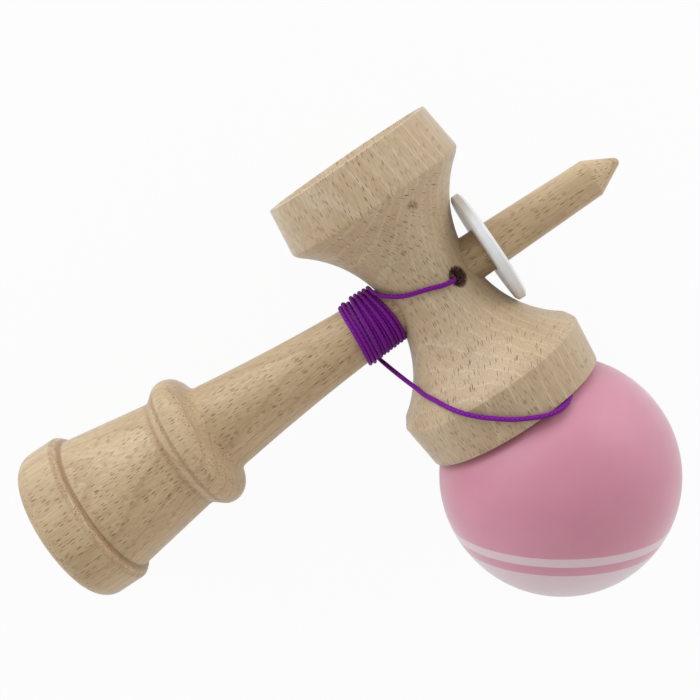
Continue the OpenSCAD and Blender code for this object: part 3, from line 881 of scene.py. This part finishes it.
# Dark brown round the string's hole: torn fibres, and painted shade inside the hole.
hole_shade_and_dark_fibres = stain(place, (6.1, -0.7, 8.2), 2.3, 0.9)
colour = blend(hole_shade_and_dark_fibres * between(torn_fibres, 0.3, 0.5), colour, rgb(72, 38, 21))
torn = stain(place, (5.7, 1.5, 9.9), 0.3, 1.5) * between(torn_fibres, 0.45, 0.6)
colour = blend(torn * 0.8, colour, rgb(104, 66, 40))
smudge = stain(place, (7.0, 20.7, 18), 0.5, 1.2) + stain(place, (7.5, 19.4, 17.1), 0.4, 1.1)
smudge = smudge + 0.5 * stain(place, (-0.7, -16.2, 16), 0.2, 1.6)
colour = blend(smudge * between(torn_fibres, 0.3, 0.6) * 0.8, colour, rgb(116, 82, 50))
feed(place, shader, Base_Color=colour)
sarado.data.materials.append(sarado_wood)

bead_wood, shader, place, colour = beech("bead_beech", tuple(ball_axis), (1, 0, 0), (1, 0, 0), 0.02,
                                         (1.2, 0.4, 0.3), ken_tone)
feed(place, shader, Base_Color=colour)
bead.data.materials.append(bead_wood)
print("beech on", sarado.name, bead.name)

# %% [markdown]
# ## Paint on the ball
# The ball is sprayed a soft matte pink, with a white cap and a white line round the hole's end. A lathe
# holds the ball for that, so the edges are planes square to the hole: the station along its axis decides
# the colour, and no picture has to be wrapped round the ball. Inside the hole the wood stays bare.

# %% Ball paint
ball_paint, shader, place = new_finish("ball_paint")
ends = {0: place, 1: tuple(ball_middle)}
from_middle = place.node("ShaderNodeVectorMath", {"operation": "SUBTRACT"}, ends)
station = dot(from_middle, tuple(ball_way)) * 1000 + 0.12 * noise(place, 260, 1.0)
middle_off = from_middle.node("ShaderNodeVectorMath", {"operation": "LENGTH"}, {0: from_middle}, 1)
white_line = band(station, 11.6, 11.75, 14.15, 14.3)
white_cap = between(station, 16.9, 17.05)
mottle = noise(place, 55, 4.0, 0.6)
pink = blend(between(mottle, 0.3, 0.7), rgb(208, 135, 154), rgb(203, 129, 149))
white = blend(between(mottle, 0.3, 0.7), rgb(222, 194, 200), rgb(217, 188, 194))
colour = blend(white_line + white_cap, pink, white)
bare = between(middle_off, (ball_r - 0.3) * MM, (ball_r - 0.5) * MM)
colour = blend(bare, colour, rgb(196, 168, 130))
spray = noise(place, 1900, rough=0.6)
feed(place, shader, Base_Color=colour, Normal=bumped(spray + mottle, 0.12, 0.06 * MM),
     Roughness=0.44 + 0.1 * spray + 0.06 * mottle,
     Specular_IOR_Level=0.7, Sheen_Weight=0.8, Sheen_Roughness=0.4)
tama.data.materials.append(ball_paint)
print("paint on", tama.name)

# %% [markdown]
# ## Plastic and braid
# The ring is a plain white moulding with faint scuffs, for which a noise is enough. The braid is dyed
# purple, with a painted highlight on the strand that is on top and painted shade in the gaps between
# strands. A pattern in space would slide over them, so the colour follows the same counts as the mesh,
# from its UV map.

# %% Ring plastic
ring_plastic, shader, place = new_finish("ring_plastic")
scuff = noise(place, 420, 4.0, 0.65)
colour = blend(between(scuff, 0.35, 0.75), rgb(238, 237, 235), rgb(231, 230, 228))
feed(place, shader, Base_Color=colour, Normal=bumped(scuff, 0.08, 0.05 * MM),
     Roughness=0.34 + 0.14 * scuff)
ring.data.materials.append(ring_plastic)
print("plastic on", ring.name)

# %% String braid
string_braid, shader, place = new_finish("string_braid")
counts = place.node("ShaderNodeUVMap", {"uv_map": "strands"})
u = counts.node("ShaderNodeSeparateXYZ", None, {0: counts})
v = u.other(1)
over = u.math("SINE", (v + u) * math.pi)
under = u.math("SINE", (v - u) * math.pi)
crown = u.math("MAXIMUM", u.math("ABSOLUTE", over), u.math("ABSOLUTE", under))
on_top = between(over * under, -0.4, 0.4)
yarn = noise(place, 5200, rough=0.7)
# Painted shade: the gaps between strands, where the crown is low, are coloured darker.
colour = blend(between(crown, 0.55, 0.98), rgb(84, 2, 102), rgb(126, 4, 146))
# Painted highlight: a lighter purple on the crown of the strand that is on top.
colour = blend(on_top * between(crown, 0.7, 1.0) * 0.35, colour, rgb(160, 40, 178))
colour = blend(between(yarn, 0.5, 0.75) * 0.15, colour, rgb(170, 70, 186))
feed(place, shader, Base_Color=colour, Normal=bumped(crown + 0.4 * yarn, 0.4, 0.06 * MM),
     Roughness=0.55 + 0.2 * yarn, Specular_IOR_Level=0.25)
for piece in (string, ken_knot, tama_knot):
    piece.data.materials.append(string_braid)
print("braid on", string.name, ken_knot.name, tama_knot.name)

# %% [markdown]
# ## The string
# The string is a limp cord of a fixed length. It leaves the ken at the hole in the waist and goes back
# into the ball.

# %% [markdown]
# ## Floor and light
# The toy lies on a plain pale floor that fills the picture. The camera sees it mostly as white, but part
# of its real shading is kept, so a soft shadow stays under the toy. Two soft lamps stand low, one beyond
# the small cup and a weaker one beyond the spike, and they brighten the edges that face them. The world
# glows more at the horizon than overhead, as the walls of a light tent do.

# %% Floor
floor_size, white_share = 6, 0.94
bpy.ops.object.select_all(action="DESELECT")
bpy.ops.mesh.primitive_plane_add(size=floor_size)
floor = bpy.context.object
floor.name = "studio_floor"
floor_paper = bpy.data.materials.new("floor_paper")
floor_paper.use_nodes = True
tree = floor_paper.node_tree
paper = tree.nodes["Principled BSDF"]
camera_ray = Tint(tree).node("ShaderNodeLightPath", None, None, "Is Camera Ray")
feed(camera_ray, paper, Base_Color=(0.86, 0.86, 0.86, 1), Roughness=0.9)
seen = camera_ray.math("MAXIMUM", camera_ray, camera_ray.other("Is Glossy Ray")) * white_share
white_glow = seen.node("ShaderNodeEmission", None, {"Color": (1, 1, 1, 1), "Strength": 1.0})
layers = {0: seen, 1: Tint(tree, paper.outputs[0]), 2: white_glow}
feed(seen, tree.nodes["Material Output"], Surface=seen.node("ShaderNodeMixShader", None, layers))
floor.data.materials.append(floor_paper)
print("floor", [round(v, 2) for v in floor.dimensions])

# %% Lamps and world
lamp_aim = (-25, -2.5, 0)
lamp_distance, lamp_size = 0.9, 0.6
horizon_glow = 1.3


def soft_lamp(name, way, watts, colour):
    """A square lamp that faces the toy from a direction of the toy's frame."""
    bpy.ops.object.select_all(action="DESELECT")
    away = (turn_to_table.to_3x3() @ Vector(way)).normalized()
    bpy.ops.object.light_add(type="AREA", location=toy(*lamp_aim) + away * lamp_distance)
    lamp = bpy.context.object
    lamp.name = name
    lamp.rotation_euler = away.to_track_quat("Z", "Y").to_euler()
    lamp.data.size = lamp_size
    lamp.data.energy = watts
    lamp.data.color = colour
    print(name, watts, "W")


soft_lamp("small_cup_lamp", (-0.15, 1, 0.28), 4.5, (0.91, 1, 1.14))
soft_lamp("spike_lamp", (1, 0.15, 0.3), 1.7, (0.94, 1, 1.08))
world = bpy.data.worlds.new("studio")
world.use_nodes = True
sky = Tint(world.node_tree).node("ShaderNodeTexCoord", None, None, "Generated")
height = dot(sky, (0, 0, 1))
glow = horizon_glow - height.math("MAXIMUM", height)
feed(sky, world.node_tree.nodes["Background"], Color=(1, 1, 1, 1), Strength=glow)
bpy.context.scene.world = world
bpy.context.scene.view_settings.view_transform = "Standard"
